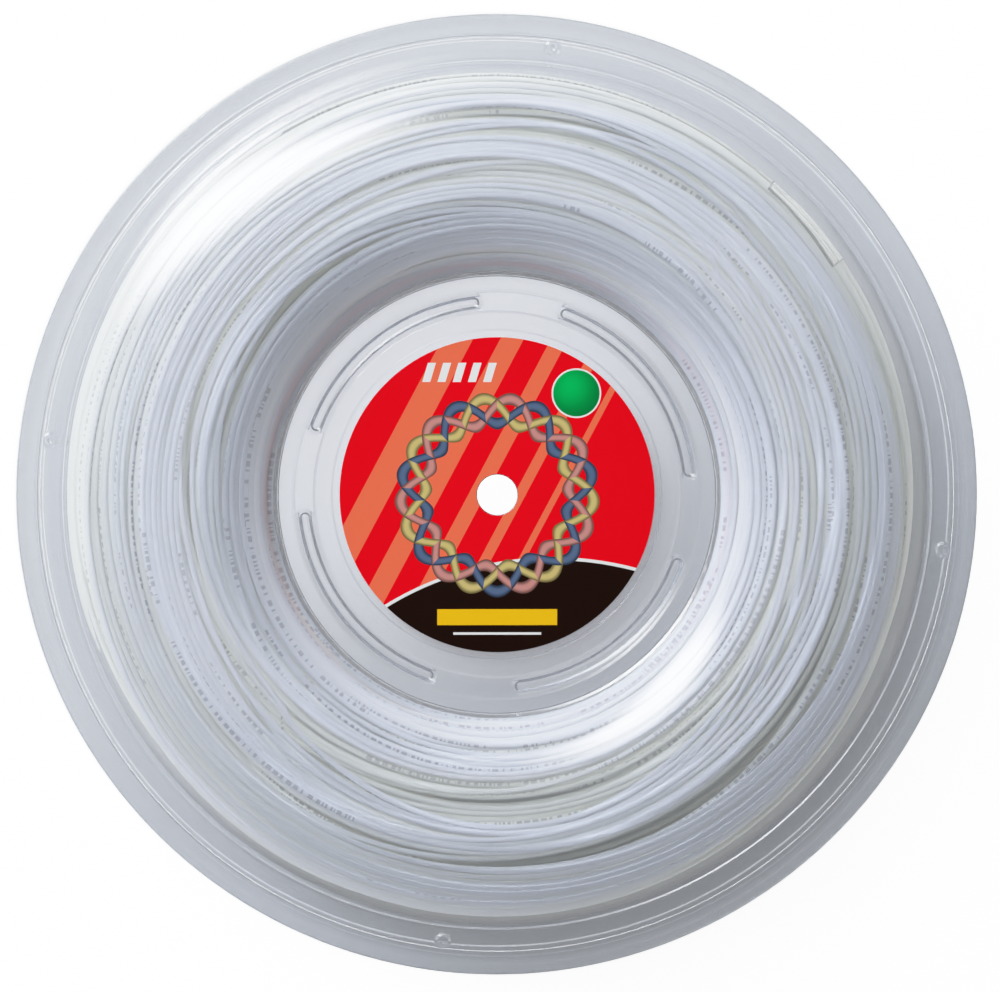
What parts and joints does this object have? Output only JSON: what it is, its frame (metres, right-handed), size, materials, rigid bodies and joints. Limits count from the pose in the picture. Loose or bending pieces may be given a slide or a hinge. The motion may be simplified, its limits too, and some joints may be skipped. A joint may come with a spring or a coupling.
{
  "type": "string reel",
  "caption": "Round clear reel with domed flanges, flat hub wells and a spindle bore, wound full of pale racket string that leaves by the open rim.",
  "frame": {"origin": "on the reel's axis, level with the flat ring of the rear crown that the reel lies on", "axes": "+Z along the reel's axis, from the rear half to the front half; +Y is the front label's upright"},
  "size_m": [0.24, 0.24, 0.0314],
  "materials": {
    "clear_plastic": "clear moulded plastic, glossy, faint cool tint",
    "string": "blue-white synthetic monofilament, semi-gloss, slightly translucent",
    "label_print": "printed film label, semi-gloss",
    "tape": "thin clear adhesive strip"
  },
  "bodies": {
    "root": {"front_flange": "clear_plastic", "rear_flange": "clear_plastic", "front_label": "label_print", "rear_label": "label_print", "string_pack": "string", "string_turns": "string", "end_tape": "tape", "start_tape": "tape"}
  },
  "joints": []
}
